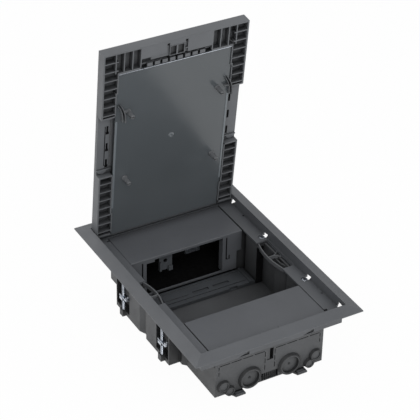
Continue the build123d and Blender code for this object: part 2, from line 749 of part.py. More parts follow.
def make_lid_frame():
    half = lid_half_x
    shape = lid_block(-half, half, 0, free_edge_v, 0, lid_thick)
    shape += rod_x(-half, half, hinge_y, hinge_z, hinge_depth)
    # Tray for the floor covering outside, open cell inside, both within the edge walls.
    shape -= lid_block(-half + 2.5, half - 2.5, 2.0, free_edge_v - 2.5, -1, skin_recess)
    shape -= lid_block(-half + lid_wall, half - lid_wall, 2.4, free_edge_v - lid_wall, skin_low, 20)
    # Flat on the barrel where the stiffening plate lies.
    shape -= lid_block(-plate_half_x - 0.4, plate_half_x + 0.4, -6, 8, plate_back, 20)
    # Ribs that carry the stiffening plate.
    deep = skin_low - 0.1
    outer_rib = plate_half_x - 6.2
    for x in (-outer_rib, -34.0, 0.0, 34.0, outer_rib):
        shape += lid_block(x - 0.8, x + 0.8, 4.0, plate_high - 1, deep, plate_back)
    cross_count = int((plate_high - 20) / 44) + 1
    for v in [4 + 44 * k for k in range(cross_count)] + [plate_high - 2]:
        shape += lid_block(-outer_rib - 0.8, outer_rib + 0.8, v - 0.8, v + 0.8, deep, plate_back)
    # Rows of ribs round the edge.
    lower_count = int((outlet_low - rib_first - 5) / rib_pitch) + 1
    upper_count = int((free_edge_v - rib_upper_first - 5) / rib_upper_pitch) + 1
    rib_vs = [rib_first + rib_pitch * k for k in range(lower_count)]
    rib_vs += [rib_upper_first + rib_upper_pitch * k for k in range(upper_count)]
    for v in rib_vs:
        shape += both_sides(lid_block(column_face(v), half - 1, v - rib_thick / 2,
                                      v + rib_thick / 2, deep, lid_thick))
    for v in (outlet_low - 0.9, outlet_high + 0.9):
        shape += both_sides(lid_block(column_face(v), half, v - 0.9, v + 0.9, 0, lid_thick))
    for x in rib_end_xs:
        shape += both_sides(lid_block(x - rib_thick / 2, x + rib_thick / 2, column_high, free_edge_v - 1,
                                      deep, lid_thick))
    shape += both_sides(lid_block(rib_end_xs[-1], plate_half_x, plate_high + plate_gap, column_high, deep,
                                  lid_thick - 0.6))
    shape += both_sides(rib_column(outlet_high + 1.5, column_high))
    shape += both_sides(rib_column(column_low, outlet_low - 1.5))
    return shape


def add_latch_seat(shape):
    """Flat cover over the latch, its window, slots for the hooks and the keeper tabs."""
    cover_in, cover_out = lid_thick - cover_thick, lid_thick
    deep = skin_low - 0.1
    shape += lid_block(-cover_half_x, cover_half_x, cover_edge, free_edge_v - 1, cover_in, cover_out)
    shape += lid_block(hook_x + 1.6, cover_half_x, cover_edge - 4.4, cover_edge + 0.1, cover_in,
                       cover_out)
    window = grip_half_x + latch_gap
    shape -= lid_block(-window, window, tab_high + 0.1, grip_high + latch_gap, cover_in - 0.2,
                       cover_out + 1)
    room = hook_room
    for side, slot_low in ((-1, cover_edge - 0.1), (1, cover_edge + 1.2)):
        x = side * hook_x
        shape -= lid_block(x - hook_width / 2 - room, x + hook_width / 2 + room, slot_low,
                           hook_post[1] + room, cover_in - 0.2, cover_out + 1)
    # Rails over which the slider runs, left out where the hooks reach in.
    for v in (tab_high - 0.6, free_edge_v - 5.24):
        shape += both_sides(lid_block(hook_x + 3.2, cover_half_x, v - 0.6, v + 0.6, deep,
                                      slider_face - latch_gap))
    for k in range(tab_count):
        x = tab_pitch * (k - (tab_count - 1) / 2)
        shape += lid_block(x - tab_width / 2, x + tab_width / 2, tab_low, tab_high, deep,
                           lid_thick - 0.8)
    return shape


def cut_outlet(shape):
    """Open the side wall, leave room for the flap and the rounded boss."""
    low, high = outlet_low, outlet_high
    opening = lid_block(lid_half_x - lid_wall - 0.1, lid_half_x + 1, low, high, skin_low, 20)
    flap_room = lid_block(flap_pivot_x - flap_room_behind, lid_half_x + 1, flap_low, high, -1,
                          skin_low + 0.1)
    shape -= both_sides(opening)
    shape -= both_sides(flap_room)
    shape += both_sides(lid_block(flap_pivot_x - 2.6, lid_half_x, flap_low - 1.6, flap_low,
                                  skin_recess - 0.1, skin_low + 1.4))
    # Rounded end of the outlet.
    round_x = (flap_pivot_x + lid_half_x) / 2 + 0.8
    lobe = rod(round_x, hinge_y - flap_low, top_z - skin_low - 1.4, top_z - skin_low + 0.1, 5.7)
    lobe = lobe & lid_block(0, lid_half_x, low - 1, flap_low, 0, 20)
    return shape + both_sides(lobe)


def flap_axis_rod(v0, v1, radius):
    z = top_z - flap_pivot_depth
    return rod_y(flap_pivot_x, hinge_y - v1, hinge_y - v0, z, radius)


def finish_lid_frame():
    shape = add_latch_seat(make_lid_frame())
    shape = cut_outlet(shape)
    # Sockets of the flap pins and bores of the hinge pins.
    pin_room = flap_pin_radius + flap_pin_clearance
    shape -= both_sides(flap_axis_rod(flap_low - 1.7, flap_low + 0.1, pin_room))
    shape -= both_sides(flap_axis_rod(outlet_high - 0.1, outlet_high + 1.7, pin_room))
    for side in (-1, 1):
        shape -= rod_x(side * (lid_half_x + 1), side * (lid_half_x - 6.4), hinge_y, hinge_z,
                       hinge_pin_radius + hinge_pin_clearance)
    return shape


def make_lid_plate():
    """Steel stiffening plate with stepped edges and a folded upper edge."""
    edge = plate_edge(0, plate_low, plate_high)
    edge = edge + [(-x, v) for x, v in edge[::-1]]
    shape = lid_outline(edge, plate_back, plate_face_depth)
    narrow = plate_half_x - plate_step
    shape += lid_block(-narrow, narrow, plate_high - 1.2, plate_high, plate_face_depth - 0.1,
                       plate_face_depth + 1.0)
    foot_half = peg_foot / 2
    for x in (-peg_x, peg_x):
        for v in peg_vs:
            shape -= lid_block(x - foot_half, x + foot_half, v - foot_half, v + foot_half, 0, 20)
    return shape


def make_peg(x, v):
    """Round peg pressed through the plate by its square foot."""
    face = top_z - plate_face_depth
    r = peg_radius
    pin = rod(0, 0, -peg_length, 0, r)
    foot_half = peg_foot / 2 - peg_foot_gap
    pin += Pos(0, 0, plate_thick / 2 - 0.05) * Box(2 * foot_half, 2 * foot_half, plate_thick + 0.1)
    return Pos(x, hinge_y - v, face) * pin


def make_arc_clip(side):
    """Bowed fin beside an upper peg that presses a cable down."""
    face = top_z - plate_face_depth
    mid_v = peg_vs[1] + 1.2
    ends = [(peg_x + 10.5, hinge_y - mid_v - 10.8), (peg_x + 14.3, hinge_y - mid_v),
            (peg_x + 10.9, hinge_y - mid_v + 10.8)]
    outer = ThreePointArc(*ends)
    inner = ThreePointArc(*[(x - 1.2, y) for x, y in ends])
    outline = [outer, Line(outer @ 1, inner @ 1), inner, Line(inner @ 0, outer @ 0)]
    fin = Pos(0, 0, face - 4.6) * extrude(make_face(outline), 4.6, dir=(0, 0, 1))
    pad = block(peg_x + 4.5, peg_x + 13.5, hinge_y - mid_v - 1.5, hinge_y - mid_v + 1.5, face - 1.4, face)
    arm = block(peg_x + 8.7, peg_x + 13.5, hinge_y - mid_v + 0.3, hinge_y - mid_v + 1.5, face - 4.0,
                face - 1.3)
    shape = fin + pad + arm
    return shape if side > 0 else mirrored_x(shape)


def make_latch_slider():
    """Slider with two ribbed pads in the window and a bar that goes under the catch hooks."""
    base_deep = slider_face + slider_thick
    face = lid_thick - 0.6
    grip = lid_block(-grip_half_x, grip_half_x, grip_low, grip_high, base_deep - 0.1, face)
    rib_pitch_v = (grip_high - grip_low) / 7
    for k in range(7):
        v = grip_low + rib_pitch_v * (k + 0.5)
        grip += both_sides(lid_block(0.5, grip_half_x - 0.3, v - 0.45, v + 0.45, face - 0.1, lid_thick))
    slider = lid_block(-latch_half_x, latch_half_x, grip_low, grip_high, slider_face, base_deep)
    # Openings for the hook posts; the bar left above them sits under the noses.
    bar_high = hook_post[0] - hook_play - latch_gap
    for side in (-1, 1):
        x = side * hook_x
        slider -= lid_block(x - hook_width / 2 - hook_room, x + hook_width / 2 + hook_room, bar_high,
                            grip_high + 1, 0, 20)
    return grip + slider


def make_flap(side):
    """Cable outlet flap: border strip and floor strip on a rounded knuckle."""
    v0, v1 = flap_low + flap_gap, outlet_high - flap_gap
    shape = lid_block(flap_pivot_x, lid_half_x, v0, v1, skin_recess, skin_low)
    shape += lid_block(lid_half_x - flap_edge, lid_half_x, v0, v1, 0, skin_low)
    for v in flap_slot_vs:
        shape -= lid_block(flap_slot_x - flap_slot_width / 2, flap_slot_x + flap_slot_width / 2,
                           v - flap_slot_length / 2, v + flap_slot_length / 2,
                           skin_recess + flap_slot_floor, 20)
    shape += flap_axis_rod(v0, v1, skin_thick / 2)
    shape += flap_axis_rod(flap_low - 1.4, outlet_high + 1.4, flap_pin_radius)
    return shape if side > 0 else mirrored_x(shape)


def make_hinge_pin(side):
    x0 = side * (lid_half_x - 6.0)
    x1 = side * (recess_half_x + wall + 1.8)
    return rod_x(x0, x1, hinge_y, hinge_z, hinge_pin_radius)


def opened(shape):
    """Turn a lid piece from closed to the pose of the open lid."""
    return shape.rotate(hinge_axis, -open_angle)


save(make_frame(), "trim_frame")
save(make_body(), "box_body")
save(make_tray(), "floor_tray")
hood = make_hood()
save(hood, "back_hood")
save(turned(hood), "front_hood")
save(make_terminal_block(), "earth_terminal")
for number, inset in enumerate(terminal_screw_insets, 1):
    save(make_terminal_screw(terminal_left + inset), "terminal_screw_" + str(number))
save(make_cable_clip(), "cable_clip")
save(make_cable_guide("left"), "cable_guide_left")
save(make_cable_guide("right"), "cable_guide_right")

for corner in claw_ys:
    x_claw, y_claw = claw_place(corner)
    save(make_claw_screw(x_claw, y_claw), "claw_screw_" + corner)
    save(make_nut(x_claw, y_claw), "claw_nut_" + corner)
    save(make_claw(x_claw, y_claw, -1 if x_claw < 0 else 1), "claw_" + corner)

save(opened(finish_lid_frame()), "lid_frame")
save(opened(make_lid_plate()), "lid_plate")
save(opened(make_latch_slider()), "latch_slider")
for number, (x_peg, v_peg) in enumerate([(x, v) for v in peg_vs for x in (-peg_x, peg_x)], 1):
    save(opened(make_peg(x_peg, v_peg)), "lid_peg_" + str(number))
for side_name, side_sign in (("left", -1), ("right", 1)):
    save(opened(make_arc_clip(side_sign)), "arc_clip_" + side_name)
    save(opened(make_flap(side_sign)), "outlet_flap_" + side_name)
    save(make_hinge_pin(side_sign), "hinge_pin_" + side_name)
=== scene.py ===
import math

import bpy
from mathutils import Matrix, Vector


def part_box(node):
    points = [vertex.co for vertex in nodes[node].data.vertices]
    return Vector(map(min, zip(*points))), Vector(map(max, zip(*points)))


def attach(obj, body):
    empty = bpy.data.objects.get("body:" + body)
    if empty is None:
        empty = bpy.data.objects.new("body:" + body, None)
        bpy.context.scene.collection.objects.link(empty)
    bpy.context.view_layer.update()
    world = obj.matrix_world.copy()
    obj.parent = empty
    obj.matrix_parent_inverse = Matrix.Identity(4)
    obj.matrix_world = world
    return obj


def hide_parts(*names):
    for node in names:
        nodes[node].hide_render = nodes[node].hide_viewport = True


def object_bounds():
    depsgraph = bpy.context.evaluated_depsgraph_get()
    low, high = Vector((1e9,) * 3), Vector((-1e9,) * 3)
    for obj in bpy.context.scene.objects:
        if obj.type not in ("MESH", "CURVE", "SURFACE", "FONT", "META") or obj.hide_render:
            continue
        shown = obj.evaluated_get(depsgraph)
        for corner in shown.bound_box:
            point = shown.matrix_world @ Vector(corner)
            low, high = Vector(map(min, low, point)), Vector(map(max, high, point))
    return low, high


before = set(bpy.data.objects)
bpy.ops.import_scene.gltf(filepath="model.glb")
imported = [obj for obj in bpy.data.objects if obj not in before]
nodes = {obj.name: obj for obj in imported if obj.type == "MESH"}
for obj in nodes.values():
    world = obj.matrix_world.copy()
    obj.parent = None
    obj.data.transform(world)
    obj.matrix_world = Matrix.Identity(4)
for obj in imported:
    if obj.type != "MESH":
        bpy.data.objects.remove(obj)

bpy.ops.object.select_all(action="DESELECT")
cadLow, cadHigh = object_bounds()
scene = bpy.context.scene
print("frame loaded:", len(nodes), "nodes")


# Materials. Every one reads Object coordinates, in metres.
sampling = {"edge": 4, "paintedShadeSamples": 6, "paintedShadeBand": (0.15, 0.85)}
noiseLow, noiseHigh = 0.3, 0.7  # where most of a noise texture's values lie


def startMaterial(name):
    material = bpy.data.materials.new(name)
    material.use_nodes = True
    tree = material.node_tree
    tree.nodes.clear()
    out = tree.nodes.new("ShaderNodeOutputMaterial")
    shader = tree.nodes.new("ShaderNodeBsdfPrincipled")
    tree.links.new(shader.outputs["BSDF"], out.inputs["Surface"])
    place = tree.nodes.new("ShaderNodeTexCoord")
    return material, tree, shader, place


def addNoise(tree, place, scale, detail=2.0):
    noise = tree.nodes.new("ShaderNodeTexNoise")
    noise.inputs["Scale"].default_value = scale
    noise.inputs["Detail"].default_value = detail
    tree.links.new(place.outputs["Object"], noise.inputs["Vector"])
    return noise.outputs["Fac"]


def addRamp(tree, source, low, high, dark, light):
    ramp = tree.nodes.new("ShaderNodeValToRGB")
    ramp.color_ramp.elements[0].position = low
    ramp.color_ramp.elements[1].position = high
    ramp.color_ramp.elements[0].color = (*dark, 1)
    ramp.color_ramp.elements[1].color = (*light, 1)
    tree.links.new(source, ramp.inputs["Fac"])
    return ramp.outputs["Color"]


def addRange(tree, source, fromLow, fromHigh, toLow, toHigh):
    ranger = tree.nodes.new("ShaderNodeMapRange")
    ranger.inputs["From Min"].default_value = fromLow
    ranger.inputs["From Max"].default_value = fromHigh
    ranger.inputs["To Min"].default_value = toLow
    ranger.inputs["To Max"].default_value = toHigh
    tree.links.new(source, ranger.inputs["Value"])
    return ranger.outputs["Result"]


def softEdge(tree, radius):  # lets moulded edges catch the light
    bevel = tree.nodes.new("ShaderNodeBevel")
    bevel.samples = sampling["edge"]
    bevel.inputs["Radius"].default_value = radius
    return bevel.outputs["Normal"]


def addBump(tree, height, strength, distance, below=None):
    bump = tree.nodes.new("ShaderNodeBump")
    bump.inputs["Strength"].default_value = strength
    bump.inputs["Distance"].default_value = distance
    tree.links.new(height, bump.inputs["Height"])
    if below:
        tree.links.new(below, bump.inputs["Normal"])
    return bump.outputs["Normal"]


def addPaintedShade(tree, colour, shadeReach, shadeDarkest):  # painted shade: darkens the colour in recesses and where parts crowd close
    near = tree.nodes.new("ShaderNodeAmbientOcclusion")
    near.samples = sampling["paintedShadeSamples"]
    near.inputs["Distance"].default_value = shadeReach
    mix = tree.nodes.new("ShaderNodeMix")
    mix.data_type = "RGBA"
    mix.blend_type = "MULTIPLY"
    mix.inputs["Factor"].default_value = 1.0
    tree.links.new(colour, mix.inputs["A"])
    low, high = sampling["paintedShadeBand"]
    tree.links.new(addRamp(tree, near.outputs["AO"], low, high, (shadeDarkest,) * 3, (1, 1, 1)), mix.inputs["B"])
    return mix.outputs["Result"]


def shade(colour, factor):
    return tuple(min(1.0, c * factor) for c in colour)


plastics = {  # colour, roughness, grain size in metres, grain depth, cloudiness, reach and darkest level of the painted shade
    "frame": {"colour": (0.109, 0.115, 0.125), "roughness": 0.46, "grain": 0.0006, "depth": 0.35,
              "cloud": 0.06, "shadeReach": 0.010, "shadeDarkest": 0.45},
    "body": {"colour": (0.099, 0.103, 0.109), "roughness": 0.54, "grain": 0.0008, "depth": 0.30,
             "cloud": 0.10, "shadeReach": 0.080, "shadeDarkest": 0.08},
    "inner": {"colour": (0.070, 0.076, 0.084), "roughness": 0.44, "grain": 0.0007, "depth": 0.25,
              "cloud": 0.10, "shadeReach": 0.030, "shadeDarkest": 0.15},
    "hood": {"colour": (0.106, 0.112, 0.123), "roughness": 0.48, "grain": 0.0005, "depth": 0.40,
             "cloud": 0.05, "shadeReach": 0.018, "shadeDarkest": 0.12},
    "lid": {"colour": (0.130, 0.137, 0.147), "roughness": 0.50, "grain": 0.0007, "depth": 0.30,
            "cloud": 0.08, "shadeReach": 0.012, "shadeDarkest": 0.08},
    "guide": {"colour": (0.125, 0.130, 0.138), "roughness": 0.42, "grain": 0.0009, "depth": 0.20,
              "cloud": 0.06, "shadeReach": 0.003, "shadeDarkest": 0.50},
    # the two near-black plastics below stand in for shade in grooves and finger pockets: painted shade
    "groove": {"colour": (0.026, 0.027, 0.029), "roughness": 0.60, "grain": 0.0008, "depth": 0.20,
               "cloud": 0.10, "shadeReach": 0.002, "shadeDarkest": 0.50},
    "pocket": {"colour": (0.042, 0.044, 0.047), "roughness": 0.55, "grain": 0.0008, "depth": 0.20,
               "cloud": 0.10, "shadeReach": 0.005, "shadeDarkest": 0.05},
}


moulding = {"cloudScale": 22.0, "roughScale": 60.0, "roughSpread": (0.05, 0.06), "specular": 0.5,
            "edgeRadius": 0.00045, "grainHeight": 0.00006}


def mouldedPlastic(name, colour, roughness, grain, depth, cloud, shadeReach, shadeDarkest):
    material, tree, shader, place = startMaterial(name + "Plastic")
    cloudy = addNoise(tree, place, moulding["cloudScale"], 3.0)
    shader.inputs["Specular IOR Level"].default_value = moulding["specular"]
    tint = addRamp(tree, cloudy, noiseLow, noiseHigh, shade(colour, 1 - cloud), shade(colour, 1 + cloud))
    # the tint is darkened by painted shade in recesses
    tree.links.new(addPaintedShade(tree, tint, shadeReach, shadeDarkest), shader.inputs["Base Color"])
    sparkle = addNoise(tree, place, 1 / grain)
    rough = addNoise(tree, place, moulding["roughScale"], 4.0)
    smoother, rougher = moulding["roughSpread"]
    tree.links.new(addRange(tree, rough, noiseLow, noiseHigh, roughness - smoother, roughness + rougher),
                   shader.inputs["Roughness"])
    edge = softEdge(tree, moulding["edgeRadius"])
    tree.links.new(addBump(tree, sparkle, depth, moulding["grainHeight"], edge), shader.inputs["Normal"])
    return material


plateFinish = {"colour": (0.082, 0.092, 0.100), "roughness": 0.17, "roughSpread": (0.02, 0.04),
               "cloudScale": 9.0, "cloud": 0.07, "specular": 0.6, "scuff": 55.0, "scuffBand": (0.35, 0.75),
               "orangePeel": 90.0, "peelDepth": 0.05, "peelHeight": 0.0003}


def coatedSteel(name="coatedSteel", lighter=1.0):
    values = plateFinish
    material, tree, shader, place = startMaterial(name)
    colour = shade(values["colour"], lighter)
    cloudy = addNoise(tree, place, values["cloudScale"])
    tree.links.new(addRamp(tree, cloudy, noiseLow, noiseHigh, shade(colour, 1 - values["cloud"]),
                           shade(colour, 1 + values["cloud"])), shader.inputs["Base Color"])
    shader.inputs["Specular IOR Level"].default_value = values["specular"]
    scuffs = addNoise(tree, place, values["scuff"], 3.0)
    smoother, rougher = values["roughSpread"]
    tree.links.new(addRange(tree, scuffs, *values["scuffBand"], values["roughness"] - smoother,
                            values["roughness"] + rougher), shader.inputs["Roughness"])
    peel = addNoise(tree, place, values["orangePeel"])
    tree.links.new(addBump(tree, peel, values["peelDepth"], values["peelHeight"]), shader.inputs["Normal"])
    return material


zincFinish = {"colour": (0.66, 0.70, 0.76), "shadow": (0.42, 0.45, 0.50), "roughness": 0.30,
              "roughSpread": (0.08, 0.12), "blotchScale": 480.0, "blotchBand": (0.35, 0.7),
              "fineScale": 2600.0, "fineDepth": 0.2, "fineHeight": 0.00004}


def zincSteel(name="zincSteel", darker=1.0):
    values = zincFinish
    material, tree, shader, place = startMaterial(name)
    blotch = addNoise(tree, place, values["blotchScale"], 3.0)
    tree.links.new(addRamp(tree, blotch, *values["blotchBand"], shade(values["shadow"], darker),
                           shade(values["colour"], darker)), shader.inputs["Base Color"])
    shader.inputs["Metallic"].default_value = 1.0
    smoother, rougher = values["roughSpread"]
    tree.links.new(addRange(tree, blotch, noiseLow, noiseHigh, values["roughness"] - smoother,
                            values["roughness"] + rougher), shader.inputs["Roughness"])
    fine = addNoise(tree, place, values["fineScale"])
    tree.links.new(addBump(tree, fine, values["fineDepth"], values["fineHeight"]), shader.inputs["Normal"])
    return material


paintedShadeFinish = {"darker": (0.002, 0.002, 0.0022), "lighter": (0.006, 0.006, 0.0065), "cloudScale": 300.0,
                "roughness": 0.9, "specular": 0.1}


def makePaintedShadeBlack():  # near-black sheet material for the bottom of deep slots and hollows: painted shade
    material, tree, shader, place = startMaterial("paintedShadeBlack")
    cloudy = addNoise(tree, place, paintedShadeFinish["cloudScale"])
    tree.links.new(addRamp(tree, cloudy, noiseLow, noiseHigh, paintedShadeFinish["darker"],
                           paintedShadeFinish["lighter"]), shader.inputs["Base Color"])
    shader.inputs["Roughness"].default_value = paintedShadeFinish["roughness"]
    shader.inputs["Specular IOR Level"].default_value = paintedShadeFinish["specular"]
    return material


plasticOf = {key: mouldedPlastic(key, **values) for key, values in plastics.items()}
steelPlate = coatedSteel()
# lighter copies of the plate coat for the side folds and the dimple: painted highlights
foldHighlight = coatedSteel("foldHighlightSteel", 2.0)
dimpleHighlight = coatedSteel("dimpleHighlightSteel", 1.45)
zinc = zincSteel()
terminalMetal = zincSteel("terminalMetal", 0.6)
# near-black stand-in for shade in slots, holes and compartments: painted shade
paintedShadeBlack = makePaintedShadeBlack()


def materialFor(node):
    if node == "trim_frame":
        return plasticOf["frame"]
    if node == "box_body":
        return plasticOf["body"]
    if node.startswith("cable_guide"):
        return plasticOf["guide"]
    if node in ("floor_tray", "cable_clip"):
        return plasticOf["inner"]
    if node.endswith("hood"):
        return plasticOf["hood"]
    if node == "lid_plate":
        return steelPlate
    if node == "earth_terminal":
        return terminalMetal
    if node.startswith(("claw", "terminal_screw", "hinge_pin")):
        return zinc
    return plasticOf["lid"]


for name, node in nodes.items():
    node.data.materials.clear()
    node.data.materials.append(materialFor(name))
print("materials set")


# Modelling helpers.
facing = 0.9  # a face counts as facing a side from this share of its normal
sunk = 0.0001  # how far a piece is let into the one that carries it
mergeGap = 0.000004


def facesUp(centre, normal):
    return normal.z > facing


def facesDown(centre, normal):
    return normal.z < -facing


def facesFront(centre, normal):
    return normal.y < -facing


def facesBack(centre, normal):
    return normal.y > facing


def nothingSelected():
    if bpy.context.object and bpy.context.object.mode != "OBJECT":
        bpy.ops.object.mode_set(mode="OBJECT")
    bpy.ops.object.select_all(action="DESELECT")


def begin(name):
    piece = bpy.context.object
    piece.name = name
    piece.data.name = name
    return piece


def applyAll(piece):
    nothingSelected()
    piece.select_set(True)
    bpy.context.view_layer.objects.active = piece
    for modifier in list(piece.modifiers):
        bpy.ops.object.modifier_apply(modifier=modifier.name)
    bpy.ops.object.transform_apply(location=True, rotation=True, scale=True)
    return piece


def joined(first, *others):
    nothingSelected()
    for piece in others:
        piece.select_set(True)
    first.select_set(True)
    bpy.context.view_layer.objects.active = first
    bpy.ops.object.join()
    return first


def mergeDoubles(piece):
    nothingSelected()
    piece.select_set(True)
    bpy.context.view_layer.objects.active = piece
    bpy.ops.object.mode_set(mode="EDIT")
    bpy.ops.mesh.select_all(action="SELECT")
    bpy.ops.mesh.remove_doubles(threshold=mergeGap)
    bpy.ops.mesh.normals_make_consistent(inside=False)
    bpy.ops.object.mode_set(mode="OBJECT")


def selectFaces(piece, test):  # test takes centre and normal
    bpy.ops.object.mode_set(mode="OBJECT")
    bpy.context.view_layer.objects.active = piece
    bpy.ops.object.mode_set(mode="EDIT")
    bpy.ops.mesh.select_mode(type="FACE")
    bpy.ops.mesh.select_all(action="DESELECT")
    bpy.ops.object.mode_set(mode="OBJECT")
    for face in piece.data.polygons:
        face.select = bool(test(face.center, face.normal))
    bpy.ops.object.mode_set(mode="EDIT")


def roundedOff(name, side, radius, segments):  # names the new piece and rounds the edges of one side
    piece = begin(name)
    selectFaces(piece, side)
    bpy.ops.mesh.bevel(offset=radius, segments=segments, affect="EDGES")
    bpy.ops.object.mode_set(mode="OBJECT")
    return piece


def cutAway(pieces, cutters):  # takes each cutter out of each piece, then deletes the cutters
    for piece in pieces:
        for cutter in cutters:
            cut = piece.modifiers.new("cut", "BOOLEAN")
            cut.operation = "DIFFERENCE"
            cut.object = cutter
        applyAll(piece)
    for cutter in cutters:
        bpy.data.objects.remove(cutter)


def addWall(piece, thick, offset):
    wall = piece.modifiers.new("wall", "SOLIDIFY")
    wall.thickness = thick
    wall.offset = offset


def smoothSelected(degrees=35):
    bpy.ops.object.shade_smooth_by_angle(angle=math.radians(degrees))


def finishPiece(piece, material, body):
    piece.data.materials.clear()
    piece.data.materials.append(material)
    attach(piece, body)


def copied(piece, name, dx, dy, dz):
    other = piece.copy()
    other.data = piece.data.copy()
    other.name = name
    other.data.name = name
    scene.collection.objects.link(other)
    other.location = (dx, dy, dz)
    nothingSelected()
    other.select_set(True)
    bpy.context.view_layer.objects.active = other
    bpy.ops.object.transform_apply(location=True, rotation=False, scale=False)
    return other


corners = ("left_back", "left_front", "right_back", "right_front")


# Claw screws: pan head with a cross recess, threaded shank.
clawScrew = {"headRadius": 0.0035, "headHeight": 0.002, "headBevel": 0.0007, "headSides": 40,
             "shankRadius": 0.002, "core": 0.00165, "pitch": 0.0008, "recessReach": 0.0021,
             "recessWidth": 0.0009, "recessDepth": 0.0013, "recessTurn": 0.5, "recessTaper": (0.55, 0.8, 1),
             "plain": 0.004, "neckShare": 0.98, "neckOverlap": 0.0002, "sides": 24}


def modelScrew(low, high):
    values = clawScrew
    nothingSelected()
    bpy.ops.mesh.primitive_cylinder_add(vertices=values["headSides"], radius=values["headRadius"],
                                        depth=values["headHeight"],
                                        location=(0, 0, high - values["headHeight"] / 2))
    head = roundedOff("screwHead", facesUp, values["headBevel"], 4)
    cutters = []
    for turn in (values["recessTurn"], values["recessTurn"] + math.pi / 2):
        nothingSelected()
        bpy.ops.mesh.primitive_cube_add(size=1, location=(0, 0, high), rotation=(0, 0, turn),
                                        scale=(2 * values["recessReach"], values["recessWidth"],
                                               2 * values["recessDepth"]))
        cutter = begin("crossCutter")
        selectFaces(cutter, facesDown)
        bpy.ops.transform.resize(value=values["recessTaper"])
        bpy.ops.object.mode_set(mode="OBJECT")
        cutters.append(cutter)
    cutAway([head], cutters)
    # One turn of the thread, arrayed down the shank.
    top = high - values["headHeight"]
    turnCount = int((top - low - values["plain"]) / values["pitch"])
    nothingSelected()
    bpy.ops.mesh.primitive_cone_add(vertices=values["sides"], radius1=values["core"],
                                    radius2=values["shankRadius"], depth=values["pitch"] / 2,
                                    end_fill_type="NGON", location=(0, 0, low + values["pitch"] / 4))
    thread = begin("screwThread")
    selectFaces(thread, facesUp)
    bpy.ops.mesh.extrude_region_move(TRANSFORM_OT_translate={"value": (0, 0, values["pitch"] / 2)})
    shrink = values["core"] / values["shankRadius"]
    bpy.ops.transform.resize(value=(shrink, shrink, 1))
    bpy.ops.object.mode_set(mode="OBJECT")
    turns = thread.modifiers.new("turns", "ARRAY")
    turns.use_relative_offset = False
    turns.use_constant_offset = True
    turns.constant_offset_displace = (0, 0, values["pitch"])
    turns.count = turnCount
    applyAll(thread)
    # The plain neck reaches a little into the head.
    neckLow, neckHigh = low + turnCount * values["pitch"], top + values["neckOverlap"]
    nothingSelected()
    bpy.ops.mesh.primitive_cylinder_add(vertices=values["sides"],
                                        radius=values["shankRadius"] * values["neckShare"],
                                        depth=neckHigh - neckLow,
                                        location=(0, 0, (neckHigh + neckLow) / 2))
    return joined(head, thread, begin("screwNeck"))


def makeClawScrews():
    low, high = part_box("claw_screw_left_back")
    first = applyAll(modelScrew(low.z, high.z))
    smoothSelected()
    for corner in corners:
        low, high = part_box("claw_screw_" + corner)
        screw = copied(first, "clawScrew_" + corner, (low.x + high.x) / 2, (low.y + high.y) / 2, 0)
        finishPiece(screw, zinc, "screw_" + corner)
        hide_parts("claw_screw_" + corner)
    bpy.data.objects.remove(first)


makeClawScrews()
print("claw screws made")


# Lid pieces are modelled closed, in metres, and then opened about the hinge.
lidPose = {"hingeY": 0.11794, "hingeZ": 0.06944, "top": 0.075, "open": 83.6, "plateFace": 0.0105}


def closedPlace(x, along, depth):
    return (x, lidPose["hingeY"] - along, lidPose["top"] - depth)


def openWithLid(piece):
    pivot = Vector((0, lidPose["hingeY"], lidPose["hingeZ"]))
    turn = Matrix.Rotation(math.radians(-lidPose["open"]), 4, "X")
    piece.matrix_world = Matrix.Translation(pivot) @ turn @ Matrix.Translation(-pivot) @ piece.matrix_world
    return applyAll(piece)


# Pegs on the plate: collar, round shank and a split, rounded tip.
lidPeg = {"radius": 0.0024, "length": 0.012, "tipBevel": 0.0008, "collar": 0.0032, "collarHeight": 0.001,
          "collarBevel": 0.0004, "sides": 36, "splitWidth": 0.0011, "splitLength": 0.01,
          "splitDepth": 0.0046, "splitTaper": (0.6, 1, 1),
          "places": {1: (-0.0537, 0.0743), 2: (0.0537, 0.0743), 3: (-0.0537, 0.1633), 4: (0.0537, 0.1633)}}


def modelPeg():
    values = lidPeg
    nothingSelected()
    bpy.ops.mesh.primitive_cylinder_add(vertices=values["sides"], radius=values["radius"],
                                        depth=values["length"], location=(0, 0, -values["length"] / 2))
    shank = roundedOff("pegShank", facesDown, values["tipBevel"], 4)
    nothingSelected()
    bpy.ops.mesh.primitive_cube_add(size=1, location=(0, 0, -values["length"]),
                                    rotation=(0, 0, math.radians(90)),
                                    scale=(values["splitWidth"], values["splitLength"],
                                           2 * values["splitDepth"]))
    splitter = begin("pegSplitter")
    selectFaces(splitter, facesUp)
    bpy.ops.transform.resize(value=values["splitTaper"])
    bpy.ops.object.mode_set(mode="OBJECT")
    cutAway([shank], [splitter])
    nothingSelected()
    bpy.ops.mesh.primitive_cylinder_add(vertices=values["sides"], radius=values["collar"],
                                        depth=values["collarHeight"],
                                        location=(0, 0, -values["collarHeight"] / 2))
    collar = roundedOff("pegCollar", facesDown, values["collarBevel"], 3)
    peg = applyAll(joined(shank, collar))
    smoothSelected()
    return peg


def makePegs():
    first = modelPeg()
    for number, (x, along) in lidPeg["places"].items():
        peg = copied(first, "lidPeg_" + str(number), *closedPlace(x, along, lidPose["plateFace"]))
        openWithLid(peg)
        finishPiece(peg, plasticOf["guide"], "lid")
        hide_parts("lid_peg_" + str(number))
    bpy.data.objects.remove(first)


makePegs()
print("pegs made")


# Pressed dimple and folded edge of the steel plate: the dimple takes a lighter copy of the plate coat and
# the edge a bright zinc strip, both painted highlights.
plateTrim = {"dimplePlace": (0.0007, 0.1158), "dimpleRadius": 0.0036, "dimpleHeight": 0.0010,
             "dimpleSides": 40, "dimpleTaper": 0.55, "dimpleRim": 0.0004, "dimpleSink": 0.0002,
             "edgeHalf": 0.0666, "edgeAlong": 0.2136, "edgeThick": 0.0010, "edgeDepth": 0.0012,
             "edgeRise": 0.0005, "edgeBevel": 0.00018}


